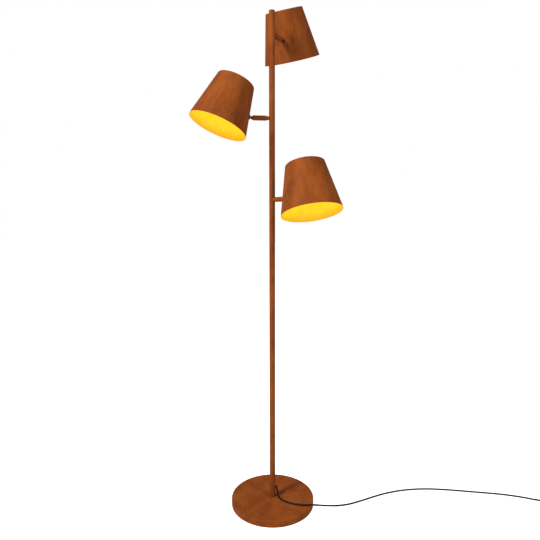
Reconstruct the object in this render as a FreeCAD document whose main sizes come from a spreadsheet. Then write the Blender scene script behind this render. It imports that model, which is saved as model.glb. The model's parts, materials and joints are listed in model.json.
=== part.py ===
import FreeCAD, Part
import math
import os
import re

import Sketcher
from FreeCAD import Vector

# A free-standing floor lamp: a round weighted base, a slim pole of three screwed tubes, and three
# conical shades, each on a short side arm with a turning barrel and a ball swivel. The mains lead
# leaves the pole just above the base. Millimetres; Z is up, and the pole is the Z axis.

doc = FreeCAD.newDocument("floor_lamp")
sheet = doc.addObject("Spreadsheet::Sheet", "sizes")
aliases = set()
pieces = []


def add_sizes(group):
    for name, value in group.items():
        row = len(aliases) + 1
        sheet.set(f"A{row}", name.replace("_", " "))
        sheet.set(f"B{row}", str(value))
        sheet.setAlias(f"B{row}", name)
        aliases.add(name)


# Overall and base
BASE = dict(
    overall_height=1550,
    base_diameter=270,
    base_height=22,
    base_wall=1.5,
    base_round=2,
    base_lift=1,
    pad_thickness=2,
    pad_inset=2,
    weight_gap=1,
    recess_diameter=34,
    foot_washer_diameter=28,
    foot_washer_thickness=1.6,
    foot_nut_width=17,
    foot_nut_thickness=5,
    thread_end=1,
    thread_play=0.05,
    hole_play=0.3,
)
# Pole: three tubes, the hollow threads that join them, and the cap
POLE = dict(
    tube_diameter=18,
    tube_wall=1.2,
    tube_chamfer=0.5,
    lower_tube_length=444,
    middle_tube_length=460,
    cap_height=3,
    cap_round=2.2,
    cap_plug_length=12,
    rod_diameter=10,
    rod_bore=6.6,
    foot_plug_length=24,
    foot_rod_rise=20,
    socket_length=24,
    nipple_length=20,
    nipple_reach=16,
    wiring_diameter=5,
    wiring_top_gap=8,
)
# Arms: a fixed stub, a barrel that turns on it, and the nut that holds the ball
ARM = dict(
    stub_diameter=11.5,
    stub_bore=5.6,
    stub_inner_end=5.6,
    stub_groove=4,
    barrel_start=17,
    barrel_diameter=14.8,
    barrel_chamfer=0.6,
    bearing_length=10,
    bearing_play=0.05,
    clip_thickness=0.9,
    clip_depth=0.8,
    clip_play=0.1,
    barrel_cavity=13,
    cavity_length=8,
    barrel_bore=6,
    arm_reach=60,
    nose_length=5.7,
    nose_reach=1.2,
    nose_tip_diameter=11.4,
    nose_thread_diameter=12.4,
    nose_thread_length=3,
    ball_diameter=10,
    ball_play=0.05,
    ball_lip=0.5,
)
# Necks: the ball's threaded stem, its washer and nut
NECK = dict(
    neck_length=9,
    neck_diameter=5.2,
    shoulder_diameter=11,
    shoulder_thickness=1.5,
    washer_diameter=14.4,
    washer_thickness=1.5,
    stem_diameter=8,
    stem_bore=3,
    stem_end=1.2,
    stem_play=0.1,
    stem_nut_width=13,
    stem_nut_thickness=5,
)
# Shades
SHADE = dict(
    rim_diameter=181,
    top_diameter=118,
    shade_height=148,
    shade_wall=0.8,
    shade_round=1.6,
    hem_height=4,
    hem_thickness=2,
    grip_distance=67.5,
)
# Lamp holders and bulbs
HOLDER = dict(
    bracket_gap=0.3,
    bracket_thickness=1.5,
    bracket_width=13,
    bracket_height=133,
    bracket_foot=10,
    bracket_nose=9,
    holder_diameter=28,
    holder_crown=17,
    holder_crown_height=8,
    holder_length=38,
    holder_bore=14.4,
    holder_depth=24,
    holder_neck_diameter=10,
    holder_neck_length=6,
    holder_nut_width=14,
    holder_nut_thickness=3,
    bulb_cap_diameter=13.8,
    bulb_cap_length=20,
    bulb_diameter=45,
    bulb_wall=1,
    bulb_throat=22,
)
# Heads: where each arm leaves the pole, and how its shade is set
HEAD = dict(
    upper_height=1484,
    upper_azimuth=60,
    upper_pan=12.1,
    upper_lift=9.7,
    upper_roll=-5,
    middle_height=1240.5,
    middle_azimuth=188,
    middle_pan=1,
    middle_lift=11,
    middle_roll=7.1,
    lower_height=997,
    lower_azimuth=-50,
    lower_pan=13.1,
    lower_lift=4.1,
    lower_roll=-9.6,
)
# Mains lead and its strain relief at the pole
LEAD = dict(
    lead_diameter=5.5,
    lead_lift=0.1,
    outlet_rise=35,
    relief_diameter=7.6,
    relief_tip_diameter=6.6,
    relief_inner_end=5.6,
    relief_flange_diameter=9.6,
    relief_flange_thickness=0.8,
    relief_straight=0.3,
    relief_bend_radius=4,
    relief_droop=80,
    relief_tail=13,
)
# Foot switch on the lead, from the tip of its first neck
SWITCH = dict(
    switch_across=940,
    switch_along=-22,
    switch_yaw=-38,
    switch_length=76,
    switch_width=42,
    switch_corner=9,
    switch_base_height=6,
    switch_height=20,
    switch_round=3.5,
    switch_lip=2.5,
    switch_neck_length=20,
    switch_neck_height=11.5,
    neck_tip_wall=1,
    neck_root_diameter=10.5,
    button_diameter=27,
    button_play=0.35,
    button_flange_diameter=31,
    button_flange_thickness=2,
    button_proud=3.5,
    button_stop_gap=0.2,
    button_round=1.5,
    button_post_diameter=8,
    button_post_length=5.5,
)
# Coil of spare lead and the plug
SPARE = dict(
    coil_across=1026,
    coil_along=-155,
    coil_start_angle=-20,
    coil_middle_radius=30.3,
    coil_gap=0.6,
    coil_layer_turns=2,
    plug_across=1008,
    plug_along=-219,
    plug_yaw=180,
    plug_length=36,
    plug_width=35,
    plug_thickness=14,
    plug_waist=15,
    plug_shoulder=20,
    plug_round=2.5,
    plug_neck_length=22,
    plug_neck_root=10,
    pin_diameter=4,
    pin_length=19,
    pin_spacing=18.6,
    pin_round=1.2,
)
for group in (BASE, POLE, ARM, NECK, SHADE, HOLDER, HEAD, LEAD, SWITCH, SPARE):
    add_sizes(group)
doc.recompute()

# Lengths that follow from the sizes
TUBE_RADIUS = "(tube_diameter / 2)"
TUBE_INSIDE = "(tube_diameter / 2 - tube_wall)"
PLUG_RADIUS = "(tube_diameter / 2 - tube_wall - thread_play)"
ROD_RADIUS = "(rod_diameter / 2)"
ROD_HOLE = "(rod_diameter / 2 + hole_play)"
LOWER_SEAM = "(base_height + lower_tube_length)"
UPPER_SEAM = "(base_height + lower_tube_length + middle_tube_length)"
TUBE_TOP = "(overall_height - cap_height)"
WEIGHT_RADIUS = "(base_diameter / 2 - base_wall - weight_gap)"
WEIGHT_TOP = "(base_height - base_wall)"
RECESS_DEPTH = "(foot_washer_thickness + foot_nut_thickness + 2 * thread_end)"
RECESS_TOP = f"(pad_thickness + {RECESS_DEPTH})"
CLIP_START = "(barrel_start + bearing_length + clip_play)"
CLIP_END = f"({CLIP_START} + clip_thickness)"
CAVITY_END = "(barrel_start + bearing_length + cavity_length)"
BARREL_END = "(arm_reach + nose_reach - nose_length)"
POCKET_RADIUS = "(ball_diameter / 2 + ball_play)"
SHADE_SLOPE = "atan((rim_diameter - top_diameter) / 2 / shade_height)"
WALL_ACROSS = f"(shade_wall / cos({SHADE_SLOPE}))"
TAB_START = "(neck_length + shade_wall + bracket_gap)"
NUT_START = f"({TAB_START} + bracket_thickness)"
STEM_END = f"({NUT_START} + stem_nut_thickness + stem_end)"
HOLDER_TOP = "(bracket_height - bracket_thickness)"
HOLDER_BOTTOM = f"({HOLDER_TOP} - holder_length)"
BULB_CENTRE = f"({HOLDER_BOTTOM} - bulb_throat)"
OUTLET_HEIGHT = "(base_height + outlet_rise)"
BEND_START = "(tube_diameter / 2 + relief_straight)"
BEND_END = f"({BEND_START} + relief_bend_radius * sin(relief_droop))"
BEND_DROP = f"({OUTLET_HEIGHT} - relief_bend_radius * (1 - cos(relief_droop)))"


def tied(text):
    """The expression with each size named by its cell."""
    def named(word):
        return f"sizes.{word[0]}" if word[0] in aliases else word[0]
    return re.sub(r"[a-z]+(?:_[a-z]+)*", named, text)


def size(text):
    """What an expression comes to now."""
    value = sheet.evalExpression(tied(text))
    return float(getattr(value, "Value", value))


def bind(item, **properties):
    for name, text in properties.items():
        item.setExpression(name, tied(text))


def at(across="0", along="0", up="0", yaw="0", pitch="0", roll="0"):
    """A placement as an expression; placements chain with ' * ' between them."""
    return f"placement(vector({across}; {along}; {up}); rotation({yaw}; {pitch}; {roll}))"


def keep(item, label):
    """Marks a finished piece; its label names its file."""
    item.Label = label
    pieces.append(item)
    return item


def outline(body, role, corners):
    """A closed sketch through corners, each a pair of expressions, on one of the body's own planes."""
    sketch = body.newObject("Sketcher::SketchObject", f"{body.Name}_outline")
    plane = next(item for item in body.Origin.OriginFeatures if item.Role == role)
    sketch.AttachmentSupport = [(plane, "")]
    sketch.MapMode = "FlatFace"
    spots = [Vector(size(first), size(second), 0) for first, second in corners]
    for start, end in zip(spots, spots[1:] + spots[:1]):
        sketch.addGeometry(Part.LineSegment(start, end), False)
    count = len(corners)
    for i in range(count):
        sketch.addConstraint(Sketcher.Constraint("Coincident", i, 2, (i + 1) % count, 1))
    for i, corner in enumerate(corners):
        for axis, text in zip("XY", corner):
            index = sketch.addConstraint(Sketcher.Constraint(f"Distance{axis}", -1, 1, i, 1, size(text)))
            sketch.renameConstraint(index, f"{axis.lower()}{i}")
            sketch.setExpression(f"Constraints.{axis.lower()}{i}", tied(text))
    return sketch


def turned(name, corners, axis="V_Axis"):
    """A body turned from an XZ outline, about Z or, with H_Axis, about X."""
    body = doc.addObject("PartDesign::Body", name)
    turn = body.newObject("PartDesign::Revolution", f"{name}_turn")
    turn.Profile = outline(body, "XZ_Plane", corners)
    turn.ReferenceAxis = (turn.Profile[0], [axis])
    turn.Angle = 360
    doc.recompute()
    return body


def padded(name, role, corners, length, midplane=False):
    """A body raised from an outline on one of its planes."""
    body = doc.addObject("PartDesign::Body", name)
    pad = body.newObject("PartDesign::Pad", f"{name}_pad")
    pad.Profile = outline(body, role, corners)
    pad.Midplane = midplane
    bind(pad, Length=length)
    doc.recompute()
    return body


def rounded(body, radius, wanted):
    """Fillets the edges of the body for which wanted(edge) is true."""
    base = body.Tip
    names = [f"Edge{i}" for i, edge in enumerate(base.Shape.Edges, 1) if wanted(edge)]
    fillet = body.newObject("PartDesign::Fillet", f"{body.Name}_round")
    fillet.Base = (base, names)
    bind(fillet, Radius=radius)
    doc.recompute()
    return body


def ring(radius, height):
    """A test for the circular edge of that radius and height about Z."""
    def wanted(edge):
        spot = edge.valueAt(edge.FirstParameter)
        near = math.hypot(spot.x, spot.y) - size(radius), spot.z - size(height)
        return max(map(abs, near)) < 1e-3
    return wanted


def rod(name, radius, length, place):
    """A round bar along its own Z axis."""
    bar = doc.addObject("Part::Cylinder", name)
    bind(bar, Radius=radius, Height=length, Placement=place)
    return bar


def ball(name, radius, place):
    sphere = doc.addObject("Part::Sphere", name)
    bind(sphere, Radius=radius, Placement=place)
    return sphere


def joined(name, parts):
    fuse = doc.addObject("Part::MultiFuse", name)
    fuse.Shapes = parts
    fuse.Refine = True
    return fuse


def cut(name, base, tools):
    """The base with the tools taken away."""
    result = doc.addObject("Part::Cut", name)
    result.Base = base
    result.Tool = tools[0] if len(tools) == 1 else joined(f"{name}_tools", tools)
    return result


def hexagon(width):
    """The corners of a hexagon that is width across its flats."""
    return [(f"{width} / 2 / cos(30) * cos({60 * i})", f"{width} / 2 / cos(30) * sin({60 * i})") for i in range(6)]


def nut(name, width, thickness, hole):
    """A hexagon nut on its own Z axis."""
    body = padded(f"{name}_blank", "XY_Plane", hexagon(width), thickness)
    return cut(name, body, [rod(f"{name}_hole", hole, f"{thickness} + 2", at(up="-1"))])


ALONG_X = "placement(vector(0; 0; 0); rotation(0; 90; 0))"


# Base

def make_base():
    half = "base_diameter / 2"
    cover = turned("base_cover", [
        (ROD_HOLE, "base_height"),
        (half, "base_height"),
        (half, "base_lift"),
        (f"{half} - base_wall", "base_lift"),
        (f"{half} - base_wall", WEIGHT_TOP),
        (ROD_HOLE, WEIGHT_TOP),
    ])
    keep(rounded(cover, "base_round", ring(half, "base_height")), "base_cover")
    recess = "recess_diameter / 2"
    keep(turned("base_weight", [
        (recess, "pad_thickness"),
        (WEIGHT_RADIUS, "pad_thickness"),
        (WEIGHT_RADIUS, WEIGHT_TOP),
        (ROD_HOLE, WEIGHT_TOP),
        (ROD_HOLE, RECESS_TOP),
        (recess, RECESS_TOP),
    ]), "base_weight")
    keep(rod("base_pad", f"{WEIGHT_RADIUS} - pad_inset", "pad_thickness", at()), "base_pad")


def make_foot_fasteners():
    washer_bottom = f"({RECESS_TOP} - foot_washer_thickness)"
    nut_bottom = f"({washer_bottom} - foot_nut_thickness)"
    rod_bottom = f"({nut_bottom} - thread_end)"
    keep(turned("foot_rod", [
        ("rod_bore / 2", rod_bottom),
        (ROD_RADIUS, rod_bottom),
        (ROD_RADIUS, "base_height + foot_rod_rise"),
        ("rod_bore / 2", "base_height + foot_rod_rise"),
    ]), "foot_rod")
    keep(turned("foot_washer", [
        (ROD_HOLE, washer_bottom),
        ("foot_washer_diameter / 2", washer_bottom),
        ("foot_washer_diameter / 2", RECESS_TOP),
        (ROD_HOLE, RECESS_TOP),
    ]), "foot_washer")
    foot_nut = nut("foot_nut", "foot_nut_width", "foot_nut_thickness", f"{ROD_RADIUS} + thread_play")
    bind(foot_nut, Placement=at(up=nut_bottom))
    keep(foot_nut, "foot_nut")


# Pole

def tube_blank(name, bottom, top, foot=None):
    """A tube with both outer edges bevelled, which draws the fine groove at each seam."""
    outer = [
        (f"{TUBE_RADIUS} - tube_chamfer", bottom),
        (TUBE_RADIUS, f"{bottom} + tube_chamfer"),
        (TUBE_RADIUS, f"{top} - tube_chamfer"),
        (f"{TUBE_RADIUS} - tube_chamfer", top),
        (TUBE_INSIDE, top),
    ]
    return turned(name, outer + (foot or [(TUBE_INSIDE, bottom)]))


def make_tubes(heads):
    outlet = rod("outlet_hole", "relief_diameter / 2 + thread_play", "tube_diameter",
                 f"{at(up=OUTLET_HEIGHT)} * {ALONG_X}")
    welded_plug = [
        (TUBE_INSIDE, "base_height + foot_plug_length"),
        (f"{ROD_RADIUS} + thread_play", "base_height + foot_plug_length"),
        (f"{ROD_RADIUS} + thread_play", "base_height"),
    ]
    lower = tube_blank("lower_blank", "base_height", LOWER_SEAM, welded_plug)
    keep(cut("lower_tube", lower, [outlet]), "lower_tube")
    keep(tube_blank("middle_tube", LOWER_SEAM, UPPER_SEAM), "middle_tube")
    holes = []
    for head in heads:
        place = f"{at(up=f'{head}_height', yaw=f'{head}_azimuth')} * {ALONG_X}"
        holes.append(rod(f"{head}_arm_hole", "stub_diameter / 2 + thread_play", "tube_diameter", place))
    keep(cut("upper_tube", tube_blank("upper_blank", UPPER_SEAM, TUBE_TOP), holes), "upper_tube")


def make_tube_joint(name, seam):
    """A threaded socket in the top of one tube and a hollow nipple in the foot of the next."""
    keep(turned(f"{name}_socket", [
        (f"{ROD_RADIUS} + thread_play", f"{seam} - socket_length"),
        (PLUG_RADIUS, f"{seam} - socket_length"),
        (PLUG_RADIUS, seam),
        (f"{ROD_RADIUS} + thread_play", seam),
    ]), f"{name}_socket")
    keep(turned(f"{name}_nipple", [
        ("rod_bore / 2", f"{seam} - nipple_reach"),
        (ROD_RADIUS, f"{seam} - nipple_reach"),
        (ROD_RADIUS, seam),
        (PLUG_RADIUS, seam),
        (PLUG_RADIUS, f"{seam} + nipple_length"),
        ("rod_bore / 2", f"{seam} + nipple_length"),
    ]), f"{name}_nipple")


def make_pole_inside():
    cap = turned("pole_cap", [
        ("0", f"{TUBE_TOP} - cap_plug_length"),
        (PLUG_RADIUS, f"{TUBE_TOP} - cap_plug_length"),
        (PLUG_RADIUS, TUBE_TOP),
        (TUBE_RADIUS, TUBE_TOP),
        (TUBE_RADIUS, "overall_height"),
        ("0", "overall_height"),
    ])
    keep(rounded(cap, "cap_round", ring(TUBE_RADIUS, "overall_height")), "pole_cap")
    start = f"({OUTLET_HEIGHT} + relief_diameter)"
    end = f"({TUBE_TOP} - cap_plug_length - wiring_top_gap)"
    keep(rod("pole_wiring", "wiring_diameter / 2", f"{end} - {start}", at(up=start)), "pole_wiring")


# Arms and heads. A head's own frame has X along the ball's stem, into the shade, and Z up the wall;
# a shade's own frame stands on the middle of its rim, with Z up its axis and X away from the arm.

def arm_place(head):
    return at(up=f"{head}_height", yaw=f"{head}_azimuth")


def head_place(head):
    reach = [f"arm_reach * {turn}({head}_azimuth)" for turn in ("cos", "sin")]
    return at(*reach, f"{head}_height", f"{head}_azimuth + {head}_pan", f"-{head}_lift", f"{head}_roll")


def shade_place(head):
    across = f"neck_length + rim_diameter / 2 * cos({SHADE_SLOPE})"
    up = f"rim_diameter / 2 * sin({SHADE_SLOPE}) - grip_distance"
    return f"{head_place(head)} * {at(across, '0', up, pitch=f'-{SHADE_SLOPE}')}"


def neck_hole(name, radius, length):
    """A cutter along the ball's stem, in the shade's own frame."""
    wall = f"-(rim_diameter / 2 - grip_distance * sin({SHADE_SLOPE}))"
    place = f"{at(wall, '0', f'grip_distance * cos({SHADE_SLOPE})')} * {at(pitch=f'90 deg + {SHADE_SLOPE}')}"
    return rod(name, radius, length, f"{place} * {at(up='-2')}")


def make_stub(head):
    groove = "(stub_diameter / 2 - clip_depth)"
    stub = turned(f"{head}_stub", [
        ("stub_inner_end", "stub_bore / 2"),
        ("stub_inner_end", "stub_diameter / 2"),
        (CLIP_START, "stub_diameter / 2"),
        (CLIP_START, groove),
        (CLIP_END, groove),
        (CLIP_END, "stub_diameter / 2"),
        (f"{CLIP_END} + clip_thickness", "stub_diameter / 2"),
        (f"{CLIP_END} + clip_thickness", "stub_bore / 2"),
    ], "H_Axis")
    bind(stub, Placement=arm_place(head))
    keep(stub, f"{head}_stub")


def make_clips(heads):
    """The rings that keep the barrels on their stubs, one fastener made alike for each arm."""
    clips = []
    for head in heads:
        inner = "(stub_diameter / 2 - clip_depth)"
        outer = "(barrel_cavity / 2 - clip_play)"
        clip = turned(f"{head}_clip", [
            (CLIP_START, inner), (CLIP_START, outer), (CLIP_END, outer), (CLIP_END, inner)], "H_Axis")
        bind(clip, Placement=arm_place(head))
        clips.append(clip)
    group = doc.addObject("Part::Compound", "stub_clips")
    group.Links = clips
    keep(group, "stub_clips")


def make_barrel(head):
    half = "barrel_diameter / 2"
    bearing = "(stub_diameter / 2 + bearing_play)"
    thread_start = f"({BARREL_END} + nose_thread_length)"
    blank = turned(f"{head}_barrel_blank", [
        ("barrel_start", bearing),
        ("barrel_start", f"{half} - barrel_chamfer"),
        ("barrel_start + barrel_chamfer", half),
        (BARREL_END, half),
        (BARREL_END, "nose_thread_diameter / 2"),
        (thread_start, "nose_thread_diameter / 2"),
        (thread_start, "barrel_bore / 2"),
        (CAVITY_END, "barrel_bore / 2"),
        (CAVITY_END, "barrel_cavity / 2"),
        ("barrel_start + bearing_length", "barrel_cavity / 2"),
        ("barrel_start + bearing_length", bearing),
    ], "H_Axis")
    barrel = cut(f"{head}_barrel", blank, [ball(f"{head}_barrel_pocket", POCKET_RADIUS, at("arm_reach", pitch="90"))])
    bind(barrel, Placement=arm_place(head))
    keep(barrel, f"{head}_barrel")


def make_nose(head):
    thread = "(nose_thread_diameter / 2 + thread_play)"
    thread_start = f"({BARREL_END} + nose_thread_length)"
    tip = "(arm_reach + nose_reach)"
    lip = "(ball_diameter / 2 - ball_lip)"
    blank = turned(f"{head}_nose_blank", [
        (BARREL_END, thread),
        (BARREL_END, "barrel_diameter / 2"),
        (f"{BARREL_END} + 1", "barrel_diameter / 2"),
        (tip, "nose_tip_diameter / 2"),
        (tip, lip),
        (f"{thread_start} + thread_play", lip),
        (f"{thread_start} + thread_play", thread),
    ], "H_Axis")
    nose = cut(f"{head}_swivel_nut", blank, [ball(f"{head}_nose_pocket", POCKET_RADIUS, at("arm_reach", pitch="90"))])
    bind(nose, Placement=arm_place(head))
    keep(nose, f"{head}_swivel_nut")


def make_ball_stem(head):
    shoulder_start = "(neck_length - washer_thickness - shoulder_thickness)"
    shoulder_end = "(neck_length - washer_thickness)"
    stem = turned(f"{head}_stem", [
        ("0", "stem_bore / 2"),
        ("0", "neck_diameter / 2"),
        (shoulder_start, "neck_diameter / 2"),
        (shoulder_start, "shoulder_diameter / 2"),
        (shoulder_end, "shoulder_diameter / 2"),
        (shoulder_end, "stem_diameter / 2"),
        (STEM_END, "stem_diameter / 2"),
        (STEM_END, "stem_bore / 2"),
    ], "H_Axis")
    bore = rod(f"{head}_ball_bore", "stem_bore / 2", "2 * ball_diameter", f"{ALONG_X} * {at(up='-ball_diameter')}")
    hollow_ball = cut(f"{head}_hollow_ball", ball(f"{head}_ball", "ball_diameter / 2", ALONG_X), [bore])
    ball_stem = joined(f"{head}_ball_stem", [stem, hollow_ball])
    bind(ball_stem, Placement=head_place(head))
    keep(ball_stem, f"{head}_ball_stem")


def make_neck_fasteners(head):
    hole = "(stem_diameter / 2 + stem_play)"
    washer = turned(f"{head}_washer", [
        ("neck_length - washer_thickness", hole),
        ("neck_length - washer_thickness", "washer_diameter / 2"),
        ("neck_length", "washer_diameter / 2"),
        ("neck_length", hole),
    ], "H_Axis")
    bind(washer, Placement=head_place(head))
    keep(washer, f"{head}_washer")
    stem_nut = nut(f"{head}_stem_nut", "stem_nut_width", "stem_nut_thickness", "stem_diameter / 2 + thread_play")
    bind(stem_nut, Placement=f"{head_place(head)} * {at(NUT_START)} * {ALONG_X}")
    keep(stem_nut, f"{head}_stem_nut")


def make_shade(head):
    """A closed cone of sheet steel; its lower edge is folded in as a hem."""
    rim, top = "rim_diameter / 2", "top_diameter / 2"
    hem_top_radius = f"({rim} - hem_height * tan({SHADE_SLOPE}))"
    shell = turned(f"{head}_shade_shell", [
        (f"{rim} - hem_thickness", "0"),
        (rim, "0"),
        (top, "shade_height"),
        ("0", "shade_height"),
        ("0", "shade_height - shade_wall"),
        (f"{top} - {WALL_ACROSS} + shade_wall * tan({SHADE_SLOPE})", "shade_height - shade_wall"),
        (f"{hem_top_radius} - {WALL_ACROSS}", "hem_height"),
        (f"{hem_top_radius} - hem_thickness", "hem_height"),
    ])
    rounded(shell, "shade_round", ring(top, "shade_height"))
    shade = cut(f"{head}_shade", shell, [neck_hole(f"{head}_shade_hole", "stem_diameter / 2 + stem_play", "8")])
    bind(shade, Placement=shade_place(head))
    keep(shade, f"{head}_shade")


def make_bracket(head):
    """A bent strip: a tab behind the wall for the stem, and a leg under the top for the lamp holder."""
    def inside(height, gap):
        wall = f"rim_diameter / 2 - ({height}) * tan({SHADE_SLOPE}) - {WALL_ACROSS}"
        return f"-({wall} - ({gap}) / cos({SHADE_SLOPE}))"

    foot = f"(grip_distance * cos({SHADE_SLOPE}) - bracket_foot)"
    under = "(bracket_height - bracket_thickness)"
    back = "(bracket_gap + bracket_thickness)"
    strip = padded(f"{head}_bracket_strip", "XZ_Plane", [
        (inside(foot, "bracket_gap"), foot),
        (inside("bracket_height", "bracket_gap"), "bracket_height"),
        ("bracket_nose", "bracket_height"),
        ("bracket_nose", under),
        (inside(under, back), under),
        (inside(foot, back), foot),
    ], "bracket_width", midplane=True)
    holder_hole = rod(f"{head}_holder_hole", "holder_neck_diameter / 2 + stem_play", "4 * bracket_thickness",
                      at(up="bracket_height - 2 * bracket_thickness"))
    tab_hole = neck_hole(f"{head}_tab_hole", "stem_diameter / 2 + stem_play", "10")
    bracket = cut(f"{head}_bracket", strip, [holder_hole, tab_hole])
    bind(bracket, Placement=shade_place(head))
    keep(bracket, f"{head}_bracket")


def make_lamp_holder(head):
    holder = turned(f"{head}_lamp_holder", [
        ("0", f"{HOLDER_TOP} + holder_neck_length"),
        ("0", f"{HOLDER_BOTTOM} + holder_depth"),
        ("holder_bore / 2", f"{HOLDER_BOTTOM} + holder_depth"),
        ("holder_bore / 2", HOLDER_BOTTOM),
        ("holder_diameter / 2", HOLDER_BOTTOM),
        ("holder_diameter / 2", f"{HOLDER_TOP} - holder_crown_height"),
        ("holder_crown / 2", HOLDER_TOP),
        ("holder_neck_diameter / 2", HOLDER_TOP),
        ("holder_neck_diameter / 2", f"{HOLDER_TOP} + holder_neck_length"),
    ])
    bind(holder, Placement=shade_place(head))
    keep(holder, f"{head}_lamp_holder")
    holder_nut = nut(f"{head}_holder_nut", "holder_nut_width", "holder_nut_thickness",
                     "holder_neck_diameter / 2 + thread_play")
    bind(holder_nut, Placement=f"{shade_place(head)} * {at(up='bracket_height')}")
    keep(holder_nut, f"{head}_holder_nut")


def make_bulb(head):
    """A small globe bulb: screw cap, throat and round envelope."""
    cap_bottom = f"({HOLDER_BOTTOM} - 1)"
    cap = rod(f"{head}_bulb_cap", "bulb_cap_diameter / 2", "bulb_cap_length", at(up=cap_bottom))
    throat = doc.addObject("Part::Cone", f"{head}_bulb_throat")
    bind(throat, Radius1="bulb_diameter / 2 * 0.9", Radius2="bulb_cap_diameter / 2",
         Height=f"{cap_bottom} + 1 - ({BULB_CENTRE} + bulb_diameter / 2 * 0.4)",
         Placement=at(up=f"{BULB_CENTRE} + bulb_diameter / 2 * 0.4"))
    globe = ball(f"{head}_bulb_globe", "bulb_diameter / 2", at(up=BULB_CENTRE))
    space = ball(f"{head}_bulb_space", "bulb_diameter / 2 - bulb_wall", at(up=BULB_CENTRE))
    bulb = cut(f"{head}_bulb", joined(f"{head}_bulb_solid", [cap, throat, globe]), [space])
    bind(bulb, Placement=shade_place(head))
    keep(bulb, f"{head}_bulb")


def make_head(head):
    make_stub(head)
    make_barrel(head)
    make_nose(head)
    make_ball_stem(head)
    make_neck_fasteners(head)
    make_shade(head)
    make_bracket(head)
    make_lamp_holder(head)
    make_bulb(head)


# Mains lead

def middle_of_arc(start, corner, end):
    """The middle of the arc that leaves start and reaches end along the lines through corner."""
    chord = (start + end) * 0.5
    half = (end - start).Length / 2
    rise = (corner - chord).Length
    return chord + (corner - chord) * (half * math.tan(math.atan2(rise, half) / 2) / rise)


def run_path(points):
    """Straight runs joined by tangent arcs, and the radii of those arcs."""
    edges, radii = [], []
    here = points[0]
    for before, corner, after in zip(points, points[1:], points[2:]):
        arrive, leave = corner - before, after - corner
        turn = arrive.getAngle(leave)
        reach = 0.45 * min(arrive.Length, leave.Length)
        start = corner - arrive.normalize() * reach
        end = corner + leave.normalize() * reach
        edges.append(Part.LineSegment(here, start).toShape())
        edges.append(Part.Arc(start, middle_of_arc(start, corner, end), end).toShape())
        radii.append(reach / math.tan(turn / 2))
        here = end
    edges.append(Part.LineSegment(here, points[-1]).toShape())
    return edges, radii


def biarc_path(points, headings):
    """Tangent arcs through the points, two from each to the next, along the given headings."""
    edges = []
    for start, end, leave, arrive in zip(points, points[1:], headings, headings[1:]):
        gap, both = end - start, leave + arrive
        bend = 2 * (1 - leave.dot(arrive))
        reach = (math.sqrt(gap.dot(both) ** 2 + bend * gap.dot(gap)) - gap.dot(both)) / bend
        first, second = start + leave * reach, end - arrive * reach
        middle = (first + second) * 0.5
        edges.append(Part.Arc(start, middle_of_arc(start, first, middle), middle).toShape())
        edges.append(Part.Arc(middle, middle_of_arc(middle, second, end), end).toShape())
    return edges


def tube_along(edges, radius):
    """A round solid along a path of joined edges."""
    path = Part.Wire(edges)
    start = edges[0].valueAt(edges[0].FirstParameter)
    heading = edges[0].tangentAt(edges[0].FirstParameter)
    section = Part.Wire(Part.Circle(start, heading, radius).toShape())
    solid = path.makePipeShell([section], True, False)
    wanted = math.pi * radius ** 2 * path.Length
    if abs(solid.Volume - wanted) > 0.01 * wanted:
        raise ValueError(f"tube volume {solid.Volume:.0f} is not its section times its length {wanted:.0f}")
    return solid


def add_shape(label, shape):
    item = doc.addObject("Part::Feature", label)
    item.Shape = shape
    keep(item, label)


def straight_lead(label, points):
    edges, radii = run_path(points)
    length = sum(edge.Length for edge in edges)
    print(f"{label}: {length:.0f} mm long, arc radii {' '.join(f'{radius:.0f}' for radius in radii)}")
    add_shape(label, tube_along(edges, size("lead_diameter / 2")))


def make_strain_relief():
    """A rubber sleeve with a saddle flange, bent down beside the pole."""
    half = "relief_diameter / 2"
    outlet = f"{at(up=OUTLET_HEIGHT)} * {ALONG_X}"
    flange_end = "tube_diameter / 2 + relief_flange_thickness"
    disc = rod("relief_disc", "relief_flange_diameter / 2", flange_end, outlet)
    pole = rod("relief_saddle", TUBE_RADIUS, "4 * relief_diameter", at(up=f"{OUTLET_HEIGHT} - 2 * relief_diameter"))
    stem = rod("relief_stem", half, f"{BEND_START} - relief_inner_end", f"{outlet} * {at(up='relief_inner_end')}")
    bend = doc.addObject("Part::Torus", "relief_bend")
    bind(bend, Radius1="relief_bend_radius", Radius2=half, Angle3="relief_droop",
         Placement=at(BEND_START, up=f"{OUTLET_HEIGHT} - relief_bend_radius", pitch="-90", roll="-90"))
    tail = doc.addObject("Part::Cone", "relief_tail_cone")
    bind(tail, Radius1=half, Radius2="relief_tip_diameter / 2", Height="relief_tail",
         Placement=at(BEND_END, up=BEND_DROP, pitch="90 + relief_droop"))
    flange = cut("relief_flange", disc, [pole])
    keep(joined("strain_relief", [flange, stem, bend, tail]), "strain_relief")


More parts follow.
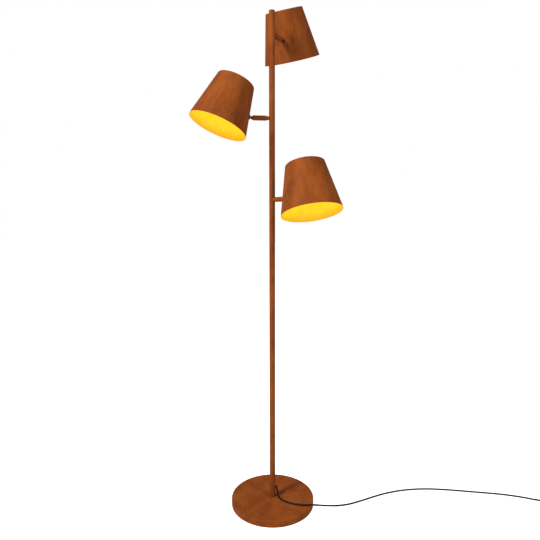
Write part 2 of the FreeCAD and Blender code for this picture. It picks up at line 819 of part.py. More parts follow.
def make_lamp_lead():
    """The stretch from the pole, down onto the base, over its edge and across the floor to the switch."""
    droop = math.radians(size("relief_droop"))
    heading = Vector(math.cos(droop), 0, -math.sin(droop))
    tip = Vector(size(BEND_END), 0, size(BEND_DROP)) + heading * size("relief_tail")
    on_base = size("base_height + lead_diameter / 2 + lead_lift")
    on_floor = size("lead_diameter / 2 + lead_lift")
    yaw = math.radians(size("switch_yaw"))
    entry = Vector(size("switch_across"), size("switch_along"), size("switch_neck_height"))
    straight_lead("lamp_lead", [
        tip,
        tip + heading * 5,
        Vector(17.1, -2.0, on_base + 5.6),
        Vector(18.4, -5.9, on_base + 1.8),
        Vector(20.8, -11.8, on_base),
        Vector(26.2, -20.8, on_base),
        Vector(35.2, -31.0, on_base),
        Vector(49.5, -41.2, on_base),
        Vector(69.5, -49.8, on_base),
        Vector(94.0, -55.9, on_base + 0.6),
        Vector(117.5, -59.3, on_base + 3.0),
        Vector(139.5, -59.9, on_base + 2.9),
        Vector(160.5, -54.6, 22.8),
        Vector(183.0, -41.2, 13.4),
        Vector(207.0, -28.0, 5.2),
        Vector(234.0, -21.0, on_floor),
        Vector(261.0, -12.9, on_floor),
        Vector(297.5, 4.4, on_floor),
        Vector(338.5, 25.2, on_floor),
        Vector(386.0, 47.0, on_floor),
        Vector(439.0, 63.5, on_floor),
        Vector(495.0, 72.5, on_floor),
        Vector(552.0, 73.5, on_floor),
        Vector(609.0, 67.8, on_floor),
        Vector(666.0, 59.0, on_floor),
        Vector(723.0, 50.5, on_floor),
        Vector(780.0, 41.5, on_floor),
        Vector(835.0, 27.0, on_floor),
        Vector(878.0, 9.0, on_floor + 0.3),
        Vector(905.0, -4.0, on_floor + 3.5),
        entry - Vector(math.cos(yaw), math.sin(yaw), 0) * 19,
        entry,
    ])


# Foot switch. Its own frame has X along the lead, from the tip of the first neck, on the floor.

SWITCH_PLACE = at("switch_across", "switch_along", "0", "switch_yaw")
SWITCH_MIDDLE = "(switch_neck_length + switch_length / 2)"
BUTTON_BOTTOM = "(switch_height - switch_lip - button_stop_gap - button_flange_thickness)"


def upright(edge):
    return abs(edge.tangentAt(edge.FirstParameter).z) > 0.99


def on_level(height):
    return lambda edge: all(abs(vertex.Z - size(height)) < 1e-3 for vertex in edge.Vertexes)


def switch_block(name, height):
    """A rectangle of the switch's plan with round corners, raised to the height."""
    start, end, side = "switch_neck_length", "(switch_neck_length + switch_length)", "switch_width / 2"
    corners = [(start, f"-{side}"), (end, f"-{side}"), (end, side), (start, side)]
    return rounded(padded(name, "XY_Plane", corners, height), "switch_corner", upright)


def taper(name, start, end, length, place):
    cone = doc.addObject("Part::Cone", name)
    bind(cone, Radius1=start, Radius2=end, Height=length, Placement=f"{place} * {ALONG_X}")
    return cone


NECK_TIP = "(lead_diameter / 2 + neck_tip_wall)"


def make_switch():
    base = switch_block("switch_base", "switch_base_height")
    bind(base, Placement=SWITCH_PLACE)
    keep(base, "switch_base")
    block = switch_block("switch_block", "switch_height - switch_base_height")
    rounded(block, "switch_round", on_level("switch_height - switch_base_height"))
    bind(block, Placement=at(up="switch_base_height"))
    first = taper("switch_first_neck", NECK_TIP, "neck_root_diameter / 2", "switch_neck_length",
                  at(up="switch_neck_height"))
    last = taper("switch_last_neck", "neck_root_diameter / 2", NECK_TIP, "switch_neck_length",
                 at("switch_neck_length + switch_length", up="switch_neck_height"))
    hole = rod("switch_hole", "button_diameter / 2 + button_play", "2 * switch_height", at(SWITCH_MIDDLE))
    well = rod("switch_well", "button_flange_diameter / 2 + button_play", "switch_height - switch_lip",
               at(SWITCH_MIDDLE))
    cover = cut("switch_cover", joined("switch_shell", [block, first, last]), [hole, well])
    bind(cover, Placement=SWITCH_PLACE)
    keep(cover, "switch_cover")
    half, flange = "button_diameter / 2", "button_flange_diameter / 2"
    button_top = "(switch_height + button_proud)"
    button = turned("switch_button", [
        ("0", f"{BUTTON_BOTTOM} - button_post_length"),
        ("button_post_diameter / 2", f"{BUTTON_BOTTOM} - button_post_length"),
        ("button_post_diameter / 2", BUTTON_BOTTOM),
        (flange, BUTTON_BOTTOM),
        (flange, f"{BUTTON_BOTTOM} + button_flange_thickness"),
        (half, f"{BUTTON_BOTTOM} + button_flange_thickness"),
        (half, button_top),
        ("0", button_top),
    ])
    rounded(button, "button_round", ring(half, button_top))
    bind(button, Placement=f"{SWITCH_PLACE} * {at(SWITCH_MIDDLE)}")
    keep(button, "switch_button")


# Coil: the spare lead wound inwards on the floor, then outwards on top of itself

def coil_spot(turn):
    """A point of the winding and its heading; turn counts from the outer end on the floor."""
    step = size("lead_diameter + coil_gap")
    layer_turns = size("coil_layer_turns")
    from_middle = turn - layer_turns
    climb = min(max(from_middle * 2 + 0.5, 0), 1)
    radius = size("coil_middle_radius") + step * (abs(from_middle) - layer_turns / 2)
    height = size("lead_diameter / 2 + lead_lift") + step * climb ** 2 * (3 - 2 * climb)
    angle = math.radians(size("coil_start_angle")) - 2 * math.pi * turn
    outward = Vector(math.cos(angle), math.sin(angle), 0)
    onward = Vector(math.sin(angle), -math.cos(angle), 0)
    growth = 0 if from_middle == 0 else math.copysign(step, from_middle)
    rise = 2 * step * 6 * climb * (1 - climb)
    heading = onward * (2 * math.pi * radius) + outward * growth + Vector(0, 0, rise)
    centre = Vector(size("coil_across"), size("coil_along"), height)
    return centre + outward * radius, heading.normalize()


def least_gap(edges, diameter):
    """The smallest space between turns, measured on points spaced along the path."""
    points = []
    for edge in edges:
        points += edge.discretize(Distance=1.5)[:-1]
    spacing = sum(edge.Length for edge in edges) / len(points)
    apart = int(4 * diameter / spacing)
    gaps = (a.distanceToPoint(b) for i, a in enumerate(points) for b in points[i + apart:])
    return min(gaps) - diameter


def make_coil():
    diameter = size("lead_diameter")
    quarters = int(round(8 * size("coil_layer_turns"))) + 1
    spots = [coil_spot(quarter / 4) for quarter in range(quarters)]
    points, headings = zip(*spots)
    start, end = coil_ends()
    edges = [Part.LineSegment(start, points[0]).toShape()]
    edges += biarc_path(points, headings)
    edges.append(Part.LineSegment(points[-1], end).toShape())
    length = sum(edge.Length for edge in edges)
    print(f"lead_coil: {length:.0f} mm long, least gap to itself {least_gap(edges, diameter):.2f} mm")
    add_shape("lead_coil", tube_along(edges, diameter / 2))


def coil_ends():
    """Where the winding's straight ends stop, one lead diameter out from its turns."""
    diameter = size("lead_diameter")
    first, heading_in = coil_spot(0)
    last, heading_out = coil_spot(2 * size("coil_layer_turns"))
    return first - heading_in * diameter, last + heading_out * diameter


def make_plug_leads():
    """The stretches from the switch to the coil and from the coil to the plug."""
    on_floor = size("lead_diameter / 2 + lead_lift")
    yaw = math.radians(size("switch_yaw"))
    along = Vector(math.cos(yaw), math.sin(yaw), 0)
    leave = Vector(size("switch_across"), size("switch_along"), size("switch_neck_height"))
    leave += along * size("2 * switch_neck_length + switch_length")
    coil_in, coil_out = coil_ends()
    heading_in, heading_out = coil_spot(0)[1], coil_spot(2 * size("coil_layer_turns"))[1]
    straight_lead("plug_lead", [
        leave,
        leave + along * 9,
        Vector(1048.5, -108.6, on_floor + 4.4),
        Vector(1057.6, -122.5, on_floor + 0.6),
        Vector(1063.4, -137.5, on_floor),
        coil_in - heading_in * 11,
        coil_in,
    ])
    plug_turn = math.radians(size("plug_yaw"))
    plug_tip = Vector(size("plug_across"), size("plug_along"), size("plug_thickness / 2"))
    straight_lead("plug_tail", [
        coil_out,
        coil_out + heading_out * 9,
        Vector(1051.0, -193.0, on_floor + 4.6),
        Vector(1043.0, -205.5, on_floor + 2.8),
        Vector(1031.5, -214.6, on_floor + 2.4),
        plug_tip - Vector(math.cos(plug_turn), math.sin(plug_turn), 0) * 11,
        plug_tip,
    ])


# Plug. Its own frame has X along the lead, from the tip of the neck, at half the plug's thickness.

PLUG_PLACE = at("plug_across", "plug_along", "plug_thickness / 2", "plug_yaw")


def make_plug():
    start, end = "plug_neck_length", "(plug_neck_length + plug_length)"
    waist, side = "plug_waist / 2", "plug_width / 2"
    grip = padded("plug_grip", "XY_Plane", [
        (start, f"-{waist}"),
        (f"{start} + plug_shoulder", f"-{side}"),
        (end, f"-{side}"),
        (end, side),
        (f"{start} + plug_shoulder", side),
        (start, waist),
    ], "plug_thickness", midplane=True)
    rounded(grip, "plug_round", lambda edge: True)
    neck = taper("plug_neck", NECK_TIP, "plug_neck_root / 2", "plug_neck_length + 1", at())
    body = joined("plug_body", [grip, neck])
    bind(body, Placement=PLUG_PLACE)
    keep(body, "plug_body")
    pins = []
    for side_name, sign in (("left", ""), ("right", "-")):
        pin = turned(f"{side_name}_pin", [
            (end, "0"),
            (end, "pin_diameter / 2"),
            (f"{end} + pin_length - pin_round", "pin_diameter / 2"),
            (f"{end} + pin_length", "pin_diameter / 2 - pin_round"),
            (f"{end} + pin_length", "0"),
        ], "H_Axis")
        bind(pin, Placement=f"{PLUG_PLACE} * {at(along=f'{sign}pin_spacing / 2')}")
        pins.append(pin)
    group = doc.addObject("Part::Compound", "plug_pins")
    group.Links = pins
    keep(group, "plug_pins")


# Writing the pieces

def check_and_write():
    doc.recompute()
    for item in doc.Objects:
        if {"Invalid", "Error"} & set(item.State):
            raise ValueError(f"{item.Label} failed: {item.State}")
    os.makedirs("parts", exist_ok=True)
    for piece in pieces:
        shape = piece.Shape
        if shape.isNull() or not shape.isValid() or not shape.Solids:
            raise ValueError(f"{piece.Label} has no valid solid")
        shape.exportStep(f"parts/{piece.Label}.step")
    print(f"{len(pieces)} pieces, {sum(len(piece.Shape.Solids) for piece in pieces)} solids")


HEADS = ("upper", "middle", "lower")
make_base()
make_foot_fasteners()
make_tubes(HEADS)
make_tube_joint("lower_seam", LOWER_SEAM)
make_tube_joint("upper_seam", UPPER_SEAM)
make_pole_inside()
make_clips(HEADS)
for head_name in HEADS:
    make_head(head_name)
make_strain_relief()
make_lamp_lead()
make_switch()
make_plug_leads()
make_coil()
make_plug()
check_and_write()
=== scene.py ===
import json
import math

import bmesh
import bpy
from mathutils import Euler, Matrix, Vector


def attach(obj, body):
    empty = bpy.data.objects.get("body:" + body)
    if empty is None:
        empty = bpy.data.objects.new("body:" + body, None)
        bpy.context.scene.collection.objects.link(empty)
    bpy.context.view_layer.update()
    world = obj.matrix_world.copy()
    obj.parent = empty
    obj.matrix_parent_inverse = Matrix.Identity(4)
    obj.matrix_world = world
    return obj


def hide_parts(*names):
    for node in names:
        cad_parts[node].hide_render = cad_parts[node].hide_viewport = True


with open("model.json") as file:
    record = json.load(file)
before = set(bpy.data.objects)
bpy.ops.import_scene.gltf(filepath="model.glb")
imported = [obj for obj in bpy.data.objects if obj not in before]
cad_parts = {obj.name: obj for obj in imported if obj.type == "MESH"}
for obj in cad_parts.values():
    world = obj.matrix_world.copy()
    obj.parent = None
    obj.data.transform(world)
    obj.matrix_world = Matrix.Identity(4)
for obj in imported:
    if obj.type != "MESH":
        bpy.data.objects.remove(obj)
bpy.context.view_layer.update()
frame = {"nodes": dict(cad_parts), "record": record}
nodes = frame["nodes"]
MM = 0.001

# Sizes shared with the part, in metres

ARM_REACH, NECK_LENGTH = 0.060, 0.009
RIM_RADIUS, TOP_RADIUS, SHADE_HEIGHT, GRIP_DISTANCE = 0.0905, 0.059, 0.148, 0.0675
SHADE_WALL, HEM_HEIGHT, HEM_THICKNESS, TOP_INSET = 0.0008, 0.004, 0.002, 0.0004
SLOPE = math.atan((RIM_RADIUS - TOP_RADIUS) / SHADE_HEIGHT)
LEAD_RADIUS = 0.00275

# Each head: arm height, arm azimuth, then how the shade is panned, lifted and rolled on its ball
HEADS = {
    "upper": (1.484, 60, 12.1, 9.7, -5),
    "middle": (1.2405, 188, 1, 11, 7.1),
    "lower": (0.997, -50, 13.1, 4.1, -9.6),
}


def turned(yaw=0, pitch=0, roll=0):
    return Euler([math.radians(angle) for angle in (roll, pitch, yaw)], "XYZ").to_matrix().to_4x4()


def arm_frame(head):
    """X along the arm from the pole's axis."""
    height, azimuth = HEADS[head][:2]
    return Matrix.Translation((0, 0, height)) @ turned(azimuth)


def head_frame(head):
    """X along the ball's stem from the ball, Z up the shade's wall."""
    pan, lift, roll = HEADS[head][2:]
    return arm_frame(head) @ Matrix.Translation((ARM_REACH, 0, 0)) @ turned(pan, -lift, roll)


def shade_frame(head):
    """Z up the shade's axis from the middle of its rim, X away from the arm."""
    across = NECK_LENGTH + RIM_RADIUS * math.cos(SLOPE)
    up = RIM_RADIUS * math.sin(SLOPE) - GRIP_DISTANCE
    return head_frame(head) @ Matrix.Translation((across, 0, up)) @ turned(0, -math.degrees(SLOPE))


# Camera, fitted to the outlines in the photograph

CAMERA_SPOT = (0, -1.5184, 0.9598)
CAMERA_PITCH, CAMERA_YAW, CAMERA_ROLL = 6.828, -0.264, -0.111
PHOTO_WIDTH, FOCAL_PIXELS = 540, 487.03
SENSOR_WIDTH = 36


def place_camera():
    pitch, yaw, roll = [math.radians(angle) for angle in (CAMERA_PITCH, CAMERA_YAW, CAMERA_ROLL)]
    ahead = Vector((math.sin(yaw) * math.cos(pitch), math.cos(yaw) * math.cos(pitch), -math.sin(pitch)))
    level = ahead.cross(Vector((0, 0, 1))).normalized()
    above = level.cross(ahead)
    right = math.cos(roll) * level + math.sin(roll) * above
    up = math.cos(roll) * above - math.sin(roll) * level
    camera = bpy.data.objects.new("camera", bpy.data.cameras.new("camera"))
    bpy.context.scene.collection.objects.link(camera)
    facing = Matrix((right, up, -ahead)).transposed().to_4x4()
    camera.matrix_world = Matrix.Translation(CAMERA_SPOT) @ facing
    camera.data.sensor_width = SENSOR_WIDTH
    camera.data.lens = FOCAL_PIXELS / PHOTO_WIDTH * SENSOR_WIDTH
    camera.data.clip_end = 60
    bpy.context.scene.camera = camera


place_camera()


# Materials

class Socket:
    """An output that takes part in sums."""

    def __init__(self, maker, socket):
        self.maker, self.socket = maker, socket

    def math(self, operation, *others):
        node = self.maker.add("ShaderNodeMath", {"operation": operation}, self, *others)
        return Socket(self.maker, node.outputs[0])

    def __add__(self, other):
        return self.math("ADD", other)

    def __sub__(self, other):
        return self.math("SUBTRACT", other)

    def __mul__(self, other):
        return self.math("MULTIPLY", other)

    def ramp(self, low, high, to_low=0.0, to_high=1.0):
        """Eased from to_low at low to to_high at high."""
        node = self.maker.add("ShaderNodeMapRange", {"interpolation_type": "SMOOTHSTEP"},
                              self, low, high, to_low, to_high)
        return Socket(self.maker, node.outputs[0])


class Maker:
    """Builds one material around a Principled shader."""

    def __init__(self, name):
        self.material = bpy.data.materials.new(name)
        self.material.use_nodes = True
        self.tree = self.material.node_tree
        self.shader = self.tree.nodes["Principled BSDF"]
        self.output = self.tree.nodes["Material Output"]

    def add(self, kind, settings=None, *inputs, **named):
        node = self.tree.nodes.new(kind)
        for key, value in (settings or {}).items():
            setattr(node, key, value)
        for key, value in list(enumerate(inputs)) + [(k.replace("_", " "), v) for k, v in named.items()]:
            self.give(node.inputs[key], value)
        return node

    def give(self, target, value):
        if isinstance(value, Socket):
            self.tree.links.new(value.socket, target)
        elif value is not None:
            target.default_value = value

    def place(self, scale=(1, 1, 1), turn=None):
        """Object coordinates, turned into a frame of their own and stretched."""
        spot = self.add("ShaderNodeTexCoord").outputs["Object"]
        if turn is not None:
            inverse = turn.inverted()
            moved = self.add("ShaderNodeMapping", {"vector_type": "POINT"}, Socket(self, spot),
                             inverse.translation, inverse.to_euler("XYZ"), (1, 1, 1))
            spot = moved.outputs[0]
        stretched = self.add("ShaderNodeMapping", {"vector_type": "POINT"}, Socket(self, spot),
                             (0, 0, 0), (0, 0, 0), scale)
        return Socket(self, stretched.outputs[0])

    def noise(self, place, scale, detail=3.0, roughness=0.55):
        node = self.add("ShaderNodeTexNoise", None, Vector=place, Scale=scale, Detail=detail,
                        Roughness=roughness)
        return Socket(self, node.outputs[0])

    def mix(self, factor, first, second):
        node = self.add("ShaderNodeMix", {"data_type": "RGBA"})
        for index, value in ((0, factor), (6, first), (7, second)):
            self.give(node.inputs[index], value if isinstance(value, Socket) or index == 0 else (*value, 1))
        return Socket(self, node.outputs[2])

    def bump(self, height, strength, distance):
        node = self.add("ShaderNodeBump", None, Strength=strength, Distance=distance, Height=height)
        return Socket(self, node.outputs[0])

    def finish(self, **inputs):
        for key, value in inputs.items():
            self.give(self.shader.inputs[key.replace("_", " ")], value)
        return self.material


def rust_paint(name, turn=None, streak=0.0, stretch=(1, 1, 0.55)):
    """Cloudy rust-brown lacquer: broad patches, small mottling and fine grain."""
    maker = Maker(name)
    place = maker.place(stretch, turn)
    broad = maker.noise(place, 22, 3, 0.5)
    mottle = maker.noise(place, 75, 4, 0.6)
    grain = maker.noise(maker.place(), 900, 2, 0.5)
    brown = maker.mix(broad.ramp(0.30, 0.70), (0.165, 0.036, 0.006), (0.230, 0.056, 0.008))
    brown = maker.mix(mottle.ramp(0.42, 0.76, 0, 0.42), brown, (0.285, 0.080, 0.013))
    brown = maker.mix(mottle.ramp(0.50, 0.24, 0, 0.4), brown, (0.110, 0.022, 0.005))
    if streak:
        lines = maker.noise(maker.place((1, 1, 0.04), turn), 160, 3, 0.6)
        brown = maker.mix(lines.ramp(0.5, 0.7, 0, streak), brown, (0.300, 0.088, 0.016))
        brown = maker.mix(lines.ramp(0.48, 0.3, 0, streak), brown, (0.100, 0.023, 0.008))
    gloss = mottle.ramp(0.3, 0.7, 0.58, 0.70)
    return maker.finish(Base_Color=brown, Roughness=gloss, Specular_IOR_Level=0.06,
                        Normal=maker.bump(grain + mottle * 2, 0.12, 0.0002))


def plain(name, colour, darker, roughness, scale=300, metallic=0.0, bump=0.1, **fixed):
    """A single-coloured material with mottling and grain."""
    maker = Maker(name)
    cloud = maker.noise(maker.place(), scale / 4, 3)
    grain = maker.noise(maker.place(), scale * 4, 2)
    tint = maker.mix(cloud.ramp(0.35, 0.65), darker, colour)
    gloss = cloud.ramp(0.3, 0.7, roughness * 0.85, roughness * 1.15)
    return maker.finish(Base_Color=tint, Metallic=metallic, Roughness=gloss,
                        Normal=maker.bump(grain, bump, 0.0001), **fixed)


def lit_lining(name, turn):
    """The golden lacquer inside a shade, with a painted glow standing in for its lamp's light: brightest
    beside the bulb, orange towards the rim.
    """
    maker = Maker(name)
    spot = maker.place((1, 1, 1), turn)
    parts = maker.add("ShaderNodeSeparateXYZ", None, spot)
    height = Socket(maker, parts.outputs[2])
    cloud = maker.noise(spot, 30, 4, 0.6)
    streak = maker.noise(maker.place((1, 1, 0.15), turn), 90, 3)
    # Painted glow: yellow higher up near the bulb, orange towards the rim, uneven in clouds
    glow_blend = height.ramp(-0.012, 0.034) + (cloud - 0.5) * 0.35
    painted_glow = maker.mix(glow_blend, (1.0, 0.30, 0.004), (1.0, 0.66, 0.012))
    # Painted glow: streaks of deeper orange across it
    painted_glow = maker.mix(streak.ramp(0.35, 0.7, 0, 0.3), painted_glow, (1.0, 0.46, 0.004))
    lacquer = maker.mix(cloud.ramp(0.35, 0.65), (0.20, 0.09, 0.003), (0.25, 0.12, 0.004))
    # The lacquer is the lining's own colour; the emission is the painted glow
    return maker.finish(Base_Color=lacquer, Roughness=0.6, Emission_Color=painted_glow, Emission_Strength=0.95,
                        Normal=maker.bump(cloud, 0.1, 0.0002))


def bulb_glow(name):
    maker = Maker(name)
    grain = maker.noise(maker.place(), 200, 2)
    tint = maker.mix(grain.ramp(0.3, 0.7), (1, 0.66, 0.26), (1, 0.74, 0.36))
    return maker.finish(Base_Color=tint, Roughness=0.35, Emission_Color=tint, Emission_Strength=2.5)


MATERIALS = {
    "rust_paint": rust_paint("rust_paint"),
    "dark_metal": plain("dark_metal", (0.020, 0.014, 0.012), (0.012, 0.008, 0.007), 0.45),
    "black_chrome": plain("black_chrome", (0.10, 0.09, 0.085), (0.05, 0.045, 0.042), 0.24,
                          metallic=1.0, bump=0.05),
    "plated": plain("plated", (0.62, 0.60, 0.57), (0.50, 0.48, 0.46), 0.32, metallic=1.0),
    "cast_weight": plain("cast_weight", (0.09, 0.085, 0.08), (0.05, 0.045, 0.04), 0.75,
                         metallic=0.6, bump=0.4),
    "felt": plain("felt", (0.030, 0.028, 0.027), (0.016, 0.015, 0.014), 0.95, bump=0.6),
    "dark_plastic": plain("dark_plastic", (0.014, 0.014, 0.015), (0.009, 0.009, 0.010), 0.5, bump=0.2),
    "lead_rubber": plain("lead_rubber", (0.012, 0.011, 0.011), (0.007, 0.007, 0.007), 0.6, bump=0.15),
    "lead_skin": plain("lead_skin", (0.016, 0.009, 0.006), (0.009, 0.005, 0.004), 0.55, bump=0.08,
                       Specular_IOR_Level=0.12),
    "pin_metal": plain("pin_metal", (0.80, 0.76, 0.70), (0.70, 0.66, 0.60), 0.25, metallic=1.0),
    "bulb_glass": bulb_glow("bulb_glass"),
}


def dress(node, material):
    mesh = nodes[node].data
    mesh.materials.clear()
    mesh.materials.append(material)
    for face in mesh.polygons:
        face.material_index = 0


# Finishes that the photograph shows on the arms, in place of the record's own
FINISHES = {
    "stub": "rust_paint",
    "swivel_nut": "rust_paint",
    "ball_stem": "black_chrome",
    "washer": "dark_metal",
}

for part in frame["record"]["subparts"]:
    kind = part["node"].split("_", 1)[-1]
    dress(part["node"], MATERIALS[FINISHES.get(kind, part["material_slot"])])


# Pieces

def add_piece(mesh, name, body, materials, replaced=()):
    piece = bpy.data.objects.new(name, mesh)
    bpy.context.scene.collection.objects.link(piece)
    for material in materials:
        mesh.materials.append(material)
    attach(piece, body)
    if replaced:
        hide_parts(*replaced)
    return piece


def lathe(name, profile, body, materials, place=None, steps=128, inside=(), replaced=()):
    """A solid turned about Z from a closed outline of (radius, height) points.

    inside numbers the outline's sides that take the second material.
    """
    bm = bmesh.new()
    layer = bm.faces.layers.int.new("side")
    spots = [bm.verts.new((radius, 0, height)) for radius, height in profile]
    count = len(spots)
    turns = [Matrix.Rotation(2 * math.pi * step / steps, 3, "Z") for step in range(steps)]
    rings = [[vertex] * steps if profile[i][0] < 1e-9 else
             [bm.verts.new(turn @ vertex.co) if step else vertex for step, turn in enumerate(turns)]
             for i, vertex in enumerate(spots)]
    for i in range(count):
        here, there = rings[i], rings[(i + 1) % count]
        for step in range(steps):
            after = (step + 1) % steps
            corners = [here[step], here[after], there[after], there[step]]
            unique = list(dict.fromkeys(corners))
            if len(unique) > 2:
                face = bm.faces.new(unique)
                face[layer] = i
                face.smooth = True
                face.material_index = 1 if i in inside else 0
    bmesh.ops.recalc_face_normals(bm, faces=bm.faces)
    if place is not None:
        bm.transform(place)
    mesh = bpy.data.meshes.new(name)
    bm.to_mesh(mesh)
    bm.free()
    return add_piece(mesh, name, body, materials, replaced)


def bevelled(piece, width, segments=3, angle=25):
    bevel = piece.modifiers.new("edges", "BEVEL")
    bevel.width = width
    bevel.segments = segments
    bevel.limit_method = "ANGLE"
    bevel.angle_limit = math.radians(angle)
    bevel.harden_normals = True
    return piece


# Lead: the same points as the part's routes, in millimetres

def lead_curve(name, points, body="stand"):
    curve = bpy.data.curves.new(name, "CURVE")
    curve.dimensions = "3D"
    spline = curve.splines.new("NURBS")
    spline.points.add(len(points) - 1)
    for point, spot in zip(spline.points, points):
        point.co = (*(Vector(spot) * MM), 1)
    spline.order_u = 3
    spline.use_endpoint_u = True
    spline.resolution_u = 10
    curve.bevel_depth = LEAD_RADIUS
    curve.bevel_resolution = 6
    curve.use_fill_caps = True
    curve.materials.append(MATERIALS["lead_skin"])
    piece = bpy.data.objects.new(name, curve)
    bpy.context.scene.collection.objects.link(piece)
    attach(piece, body)
    return piece


ON_BASE, ON_FLOOR = 24.85, 2.85
DROOP = math.radians(80)
RELIEF_TIP = Vector((9.3 + 4 * math.sin(DROOP) + 13 * math.cos(DROOP), 0,
                     53 + 4 * math.cos(DROOP) - 13 * math.sin(DROOP)))
SWITCH_YAW = math.radians(-38)
SWITCH_ALONG = Vector((math.cos(SWITCH_YAW), math.sin(SWITCH_YAW), 0))
SWITCH_ENTRY = Vector((940, -22, 11.5))
SWITCH_EXIT = SWITCH_ENTRY + SWITCH_ALONG * 116
COIL_MIDDLE = Vector((1026, -155, 0))
COIL_STEP = 6.1
PLUG_TIP = Vector((1008, -219, 7))

lamp_route = [
    RELIEF_TIP,
    RELIEF_TIP + Vector((math.cos(DROOP), 0, -math.sin(DROOP))) * 5,
    (17.1, -2.0, ON_BASE + 5.6),
    (18.4, -5.9, ON_BASE + 1.8),
    (20.8, -11.8, ON_BASE),
    (26.2, -20.8, ON_BASE),
    (35.2, -31.0, ON_BASE),
    (49.5, -41.2, ON_BASE),
    (69.5, -49.8, ON_BASE),
    (94.0, -55.9, ON_BASE + 0.6),
    (117.5, -59.3, ON_BASE + 3.0),
    (139.5, -59.9, ON_BASE + 2.9),
    (160.5, -54.6, 22.8),
    (183.0, -41.2, 13.4),
    (207.0, -28.0, 5.2),
    (234.0, -21.0, ON_FLOOR),
    (261.0, -12.9, ON_FLOOR),
    (297.5, 4.4, ON_FLOOR),
    (338.5, 25.2, ON_FLOOR),
    (386.0, 47.0, ON_FLOOR),
    (439.0, 63.5, ON_FLOOR),
    (495.0, 72.5, ON_FLOOR),
    (552.0, 73.5, ON_FLOOR),
    (609.0, 67.8, ON_FLOOR),
    (666.0, 59.0, ON_FLOOR),
    (723.0, 50.5, ON_FLOOR),
    (780.0, 41.5, ON_FLOOR),
    (835.0, 27.0, ON_FLOOR),
    (878.0, 9.0, ON_FLOOR + 0.3),
    (905.0, -4.0, ON_FLOOR + 3.5),
    SWITCH_ENTRY - SWITCH_ALONG * 19,
    SWITCH_ENTRY,
]


def coil_spot(turn):
    """A point of the winding and its heading; it winds inwards on the floor, then outwards on top."""
    climb = min(max((turn - 2) * 2 + 0.5, 0), 1)
    radius = 30.3 + COIL_STEP * (abs(turn - 2) - 1)
    angle = math.radians(-20) - 2 * math.pi * turn
    outward = Vector((math.cos(angle), math.sin(angle), 0))
    onward = Vector((math.sin(angle), -math.cos(angle), 0))
    height = ON_FLOOR + COIL_STEP * climb ** 2 * (3 - 2 * climb)
    return COIL_MIDDLE + outward * radius + Vector((0, 0, height)), onward


def coil_route(steps=16):
    """Control points of the winding, drawn out a little because the spline runs inside them."""
    spots = []
    for step in range(4 * steps + 1):
        spot, _ = coil_spot(step / steps)
        level = COIL_MIDDLE + Vector((0, 0, spot.z))
        spots.append(level + (spot - level) / math.cos(math.pi / steps) ** 0.67)
    return spots


coil_in, heading_in = coil_spot(0)
coil_out, heading_out = coil_spot(4)
plug_route = [
    SWITCH_EXIT,
    SWITCH_EXIT + SWITCH_ALONG * 9,
    (1048.5, -108.6, ON_FLOOR + 4.4),
    (1057.6, -122.5, ON_FLOOR + 0.6),
    (1063.4, -137.5, ON_FLOOR),
    coil_in - heading_in * 16.5,
    coil_in - heading_in * 5.5,
    *coil_route(),
    coil_out + heading_out * 5.5,
    coil_out + heading_out * 14.5,
    (1051.0, -193.0, ON_FLOOR + 4.6),
    (1043.0, -205.5, ON_FLOOR + 2.8),
    (1031.5, -214.6, ON_FLOOR + 2.4),
    PLUG_TIP + Vector((11, 0, 0)),
    PLUG_TIP,
]

lamp_lead = lead_curve("lamp_lead_line", lamp_route)
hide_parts("lamp_lead")
plug_lead = lead_curve("plug_lead_line", plug_route)
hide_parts("plug_lead", "lead_coil", "plug_tail")


# Shades

def make_shade(head):
    place = shade_frame(head)
    across = SHADE_WALL / math.cos(SLOPE)
    rim, top, high = RIM_RADIUS, TOP_RADIUS, SHADE_HEIGHT
    at_hem = rim - HEM_HEIGHT * math.tan(SLOPE)
    profile = [
        (0, high),
        (top - TOP_INSET, high),
        (rim, 0),
        (rim - HEM_THICKNESS, 0),
        (at_hem - HEM_THICKNESS, HEM_HEIGHT),
        (at_hem - across, HEM_HEIGHT),
        (top - across + SHADE_WALL * math.tan(SLOPE), high - SHADE_WALL),
        (0, high - SHADE_WALL),
    ]
    outside = rust_paint(f"{head}_shade_paint", place, streak=0.12, stretch=(1, 1, 0.4))
    inside = lit_lining(f"{head}_shade_lining", place)
    piece = lathe(f"{head}_shade_shell", profile, f"{head}_head", [outside, inside],
                  place, inside=(2, 3, 4, 5, 6), replaced=[f"{head}_shade"])
    return bevelled(piece, 0.0006, 2)


for head in HEADS:
    make_shade(head)


# Stage and light

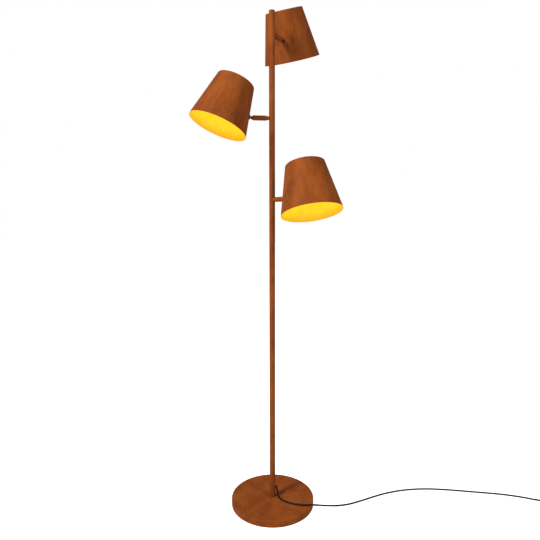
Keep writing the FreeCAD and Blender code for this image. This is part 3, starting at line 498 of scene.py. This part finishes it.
def make_floor():
    bm = bmesh.new()
    bmesh.ops.create_grid(bm, x_segments=1, y_segments=1, size=14)
    mesh = bpy.data.meshes.new("floor")
    bm.to_mesh(mesh)
    bm.free()
    floor = bpy.data.objects.new("floor", mesh)
    bpy.context.scene.collection.objects.link(floor)
    maker = Maker("floor")
    maker.finish(Base_Color=(0.86, 0.86, 0.86, 1), Roughness=0.9, Specular_IOR_Level=0.1)
    seen = Socket(maker, maker.add("ShaderNodeLightPath").outputs["Is Camera Ray"])
    lift = Socket(maker, maker.add("ShaderNodeEmission", None, (1, 1, 1, 1), 0.80).outputs[0])
    black = Socket(maker, maker.add("ShaderNodeEmission", None, (0, 0, 0, 1), 0.0).outputs[0])
    choose = Socket(maker, maker.add("ShaderNodeMixShader", None, seen, black, lift).outputs[0])
    surface = Socket(maker, maker.shader.outputs[0])
    both = maker.add("ShaderNodeAddShader", None, surface, choose)
    maker.tree.links.new(both.outputs[0], maker.output.inputs[0])
    mesh.materials.append(maker.material)


def make_world():
    world = bpy.data.worlds.new("studio")
    bpy.context.scene.world = world
    world.use_nodes = True
    tree = world.node_tree
    light = tree.nodes["Background"]
    light.inputs[0].default_value = (1, 1, 1, 1)
    light.inputs[1].default_value = 0.40
    white = tree.nodes.new("ShaderNodeBackground")
    white.inputs[0].default_value = (1, 1, 1, 1)
    white.inputs[1].default_value = 1.0
    path = tree.nodes.new("ShaderNodeLightPath")
    mix = tree.nodes.new("ShaderNodeMixShader")
    tree.links.new(path.outputs["Is Camera Ray"], mix.inputs[0])
    tree.links.new(light.outputs[0], mix.inputs[1])
    tree.links.new(white.outputs[0], mix.inputs[2])
    tree.links.new(mix.outputs[0], tree.nodes["World Output"].inputs[0])


def area_light(name, spot, aim, size, power, colour=(1, 1, 1)):
    lamp = bpy.data.lights.new(name, "AREA")
    lamp.shape = "DISK"
    lamp.size = size
    lamp.energy = power
    lamp.color = colour
    light = bpy.data.objects.new(name, lamp)
    bpy.context.scene.collection.objects.link(light)
    light.location = spot
    light.rotation_euler = (Vector(aim) - Vector(spot)).to_track_quat("-Z", "Y").to_euler()
    return light


make_floor()
make_world()
area_light("key", (-2.3, -1.9, 3.3), (0, 0, 0.8), 0.9, 165)
area_light("fill", (2.4, -2.2, 3.0), (0, 0, 0.6), 0.9, 45)

scene = bpy.context.scene
scene.view_settings.view_transform = "Standard"
